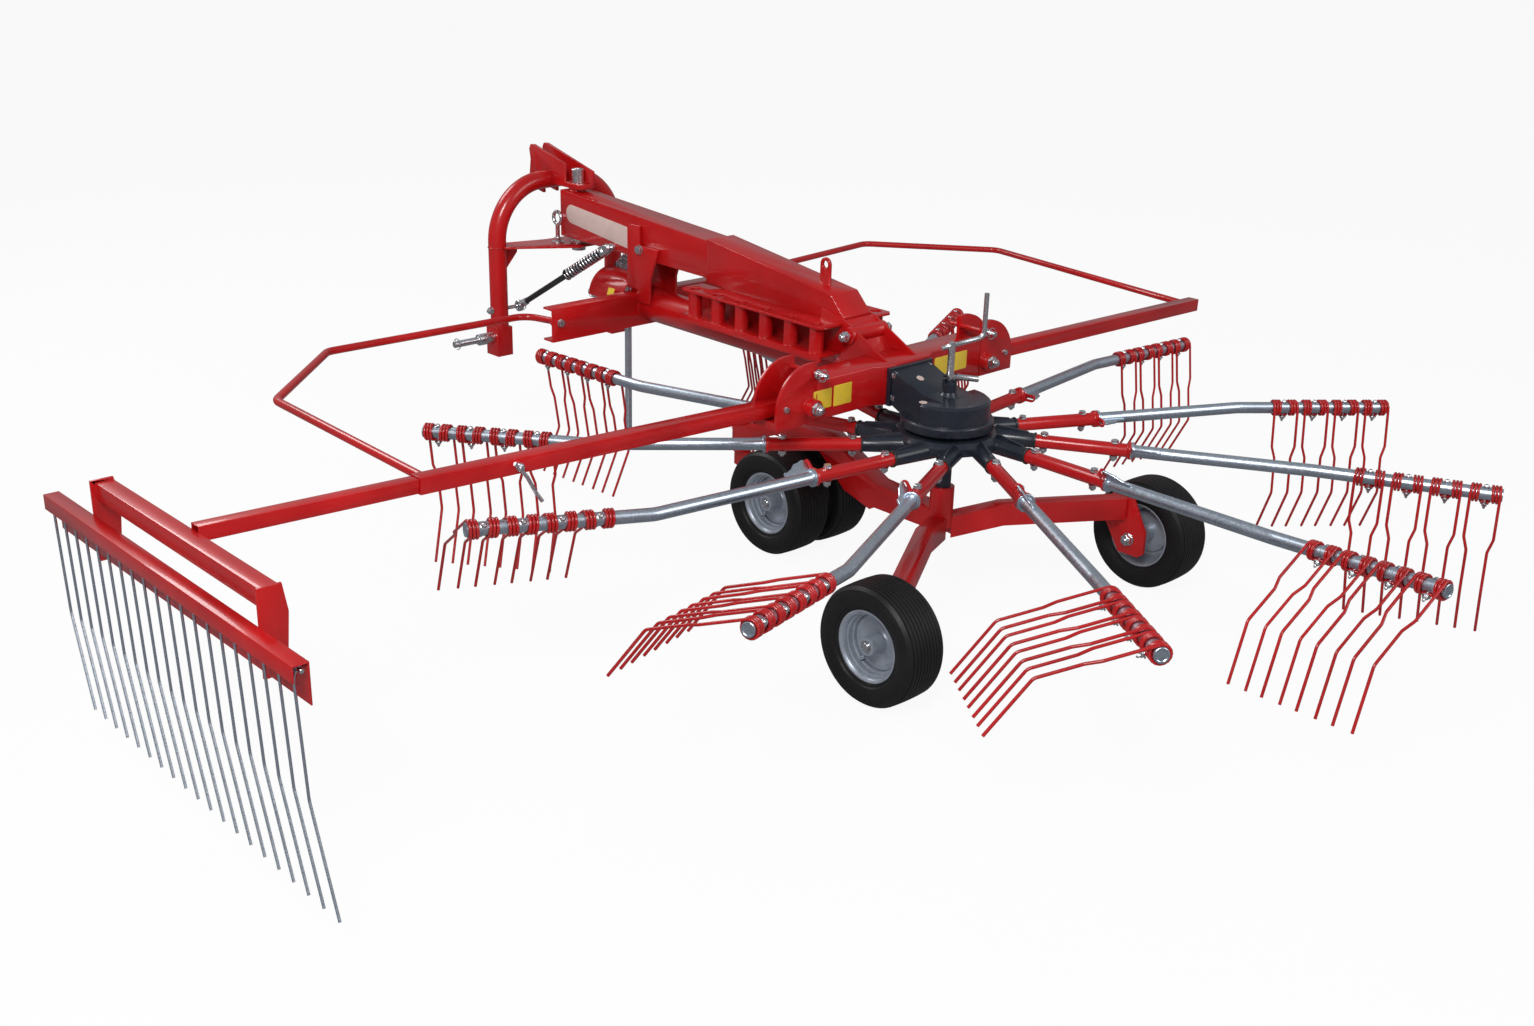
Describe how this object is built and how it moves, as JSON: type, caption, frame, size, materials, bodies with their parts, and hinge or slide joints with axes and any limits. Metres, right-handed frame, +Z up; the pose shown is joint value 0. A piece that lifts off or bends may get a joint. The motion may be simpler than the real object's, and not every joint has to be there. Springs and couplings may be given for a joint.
{
  "type": "single rotor hay rake",
  "caption": "Tractor-mounted single rotor hay rake with bent tine arms, tandem undercarriage wheels, folding guard hoops, sliding swath curtain and swinging three point headstock.",
  "frame": {"origin": "centre of the machine's box, on the ground", "axes": "+X forwards to the tractor, +Y to the machine's left (curtain side), +Z up"},
  "size_m": [4.1216, 4.746, 1.302],
  "materials": {
    "red_paint": "gloss",
    "galvanised": "satin",
    "zinc": "satin",
    "black_cast": "gloss",
    "tyre": "matte",
    "rim_silver": "satin"
  },
  "bodies": {
    "frame": {"main_tube": "red_paint", "cross_channel": "red_paint", "top_beam": "red_paint", "front_upright": "red_paint", "rear_bracket": "red_paint", "crossbeam": "red_paint", "fold_plates_left": "red_paint", "fold_plates_right": "red_paint", "arm_rack_left": "red_paint", "arm_rack_right": "red_paint", "pto_shaft": "zinc", "pto_guard": "red_paint", "stand_sleeve": "red_paint", "gearbox": "black_cast", "height_crank": "zinc", "column": "black_cast", "front_beam": "red_paint", "rear_arm_left": "red_paint", "rear_arm_right": "red_paint", "strut_brackets": "red_paint"},
    "rotor": {"rotor_hub": "black_cast", "arm_sleeves": "red_paint", "tine_arm_01": "galvanised", "tine_arm_02": "galvanised", "tine_arm_03": "galvanised", "tine_arm_04": "galvanised", "tine_arm_05": "galvanised", "tine_arm_06": "galvanised", "tine_arm_07": "galvanised", "tine_arm_08": "galvanised", "tine_arm_09": "galvanised", "tine_arm_10": "galvanised", "tine_arm_11": "galvanised"},
    "wheel_rear_left": {"tyre_rear_left": "tyre", "rim_rear_left": "rim_silver"},
    "wheel_rear_right": {"tyre_rear_right": "tyre", "rim_rear_right": "rim_silver"},
    "castor": {"castor_yoke": "red_paint"},
    "front_wheels": {"tyres_front": "tyre", "rims_front": "rim_silver"},
    "left_arm": {"side_arm_left": "red_paint", "guard_hoop_left": "red_paint"},
    "curtain": {"curtain_frame": "red_paint", "curtain_rail": "red_paint", "curtain_wires": "zinc"},
    "right_arm": {"side_arm_right": "red_paint", "guard_hoop_right": "red_paint"},
    "headstock": {"headstock_arch": "red_paint", "headstock_plates": "red_paint", "headstock_lower": "red_paint", "headstock_pins": "zinc", "strut_bolts": "zinc"},
    "strut_guide_left": {"strut_guide_left": "zinc"},
    "strut_guide_right": {"strut_guide_right": "zinc"},
    "strut_rod_left": {"strut_rod_left": "zinc"},
    "strut_rod_right": {"strut_rod_right": "zinc"},
    "stand": {"parking_stand": "zinc"}
  },
  "joints": [
    {"name": "rotor_spin", "type": "hinge", "parent": "frame", "child": "rotor", "pos_m": [-0.276, -0.287, 0.605], "axis": [0, 0, 1], "continuous": true},
    {"name": "wheel_rear_left_spin", "type": "hinge", "parent": "frame", "child": "wheel_rear_left", "pos_m": [-0.664, 0.424, 0.199], "axis": [0, 1, 0], "continuous": true},
    {"name": "wheel_rear_right_spin", "type": "hinge", "parent": "frame", "child": "wheel_rear_right", "pos_m": [-0.664, -0.998, 0.199], "axis": [0, 1, 0], "continuous": true},
    {"name": "castor_swivel", "type": "hinge", "parent": "frame", "child": "castor", "pos_m": [0.746, -0.287, 0.35], "axis": [0, 0, 1], "range_deg": [-25, 25]},
    {"name": "front_wheels_spin", "type": "hinge", "parent": "castor", "child": "front_wheels", "pos_m": [0.424, -0.287, 0.199], "axis": [0, 1, 0], "continuous": true},
    {"name": "left_arm_fold", "type": "hinge", "parent": "frame", "child": "left_arm", "pos_m": [0.004, 0.163, 0.75], "axis": [1, 0, 0], "range_deg": [0, 80]},
    {"name": "curtain_slide", "type": "slide", "parent": "left_arm", "child": "curtain", "axis": [0, 0.9994, 0.0349], "range_m": [-0.5, 0.1]},
    {"name": "right_arm_fold", "type": "hinge", "parent": "frame", "child": "right_arm", "pos_m": [0.004, -0.737, 0.75], "axis": [-1, 0, 0], "range_deg": [0, 80]},
    {"name": "headstock_swing", "type": "hinge", "parent": "frame", "child": "headstock", "pos_m": [1.775, -0.287, 1], "axis": [0, 0, 1], "range_deg": [-12, 12]},
    {"name": "strut_left_turn", "type": "hinge", "parent": "frame", "child": "strut_guide_left", "pos_m": [1.463, -0.201, 0.968], "axis": [-0.0902, 0.3274, 0.9406], "range_deg": [-6, 6]},
    {"name": "strut_left_slide", "type": "slide", "parent": "strut_guide_left", "child": "strut_rod_left", "axis": [0.8141, 0.1987, -0.5456], "range_m": [-0.035, 0.035]},
    {"name": "strut_right_turn", "type": "hinge", "parent": "frame", "child": "strut_guide_right", "pos_m": [1.463, -0.373, 0.968], "axis": [-0.2102, -0.2674, 0.9404], "range_deg": [-6, 6]},
    {"name": "strut_right_slide", "type": "slide", "parent": "strut_guide_right", "child": "strut_rod_right", "axis": [0.8141, -0.1987, -0.5456], "range_m": [-0.035, 0.035]},
    {"name": "stand_slide", "type": "slide", "parent": "frame", "child": "stand", "axis": [0, 0, 1], "range_m": [0, 0.4]}
  ],
  "couplings": [
    {"joint": "strut_left_turn", "follows": "headstock_swing", "ratio": 0.4394},
    {"joint": "strut_left_slide", "follows": "headstock_swing", "m_per_rad": -0.1319},
    {"joint": "strut_right_turn", "follows": "headstock_swing", "ratio": 0.4847},
    {"joint": "strut_right_slide", "follows": "headstock_swing", "m_per_rad": 0.1316}
  ]
}
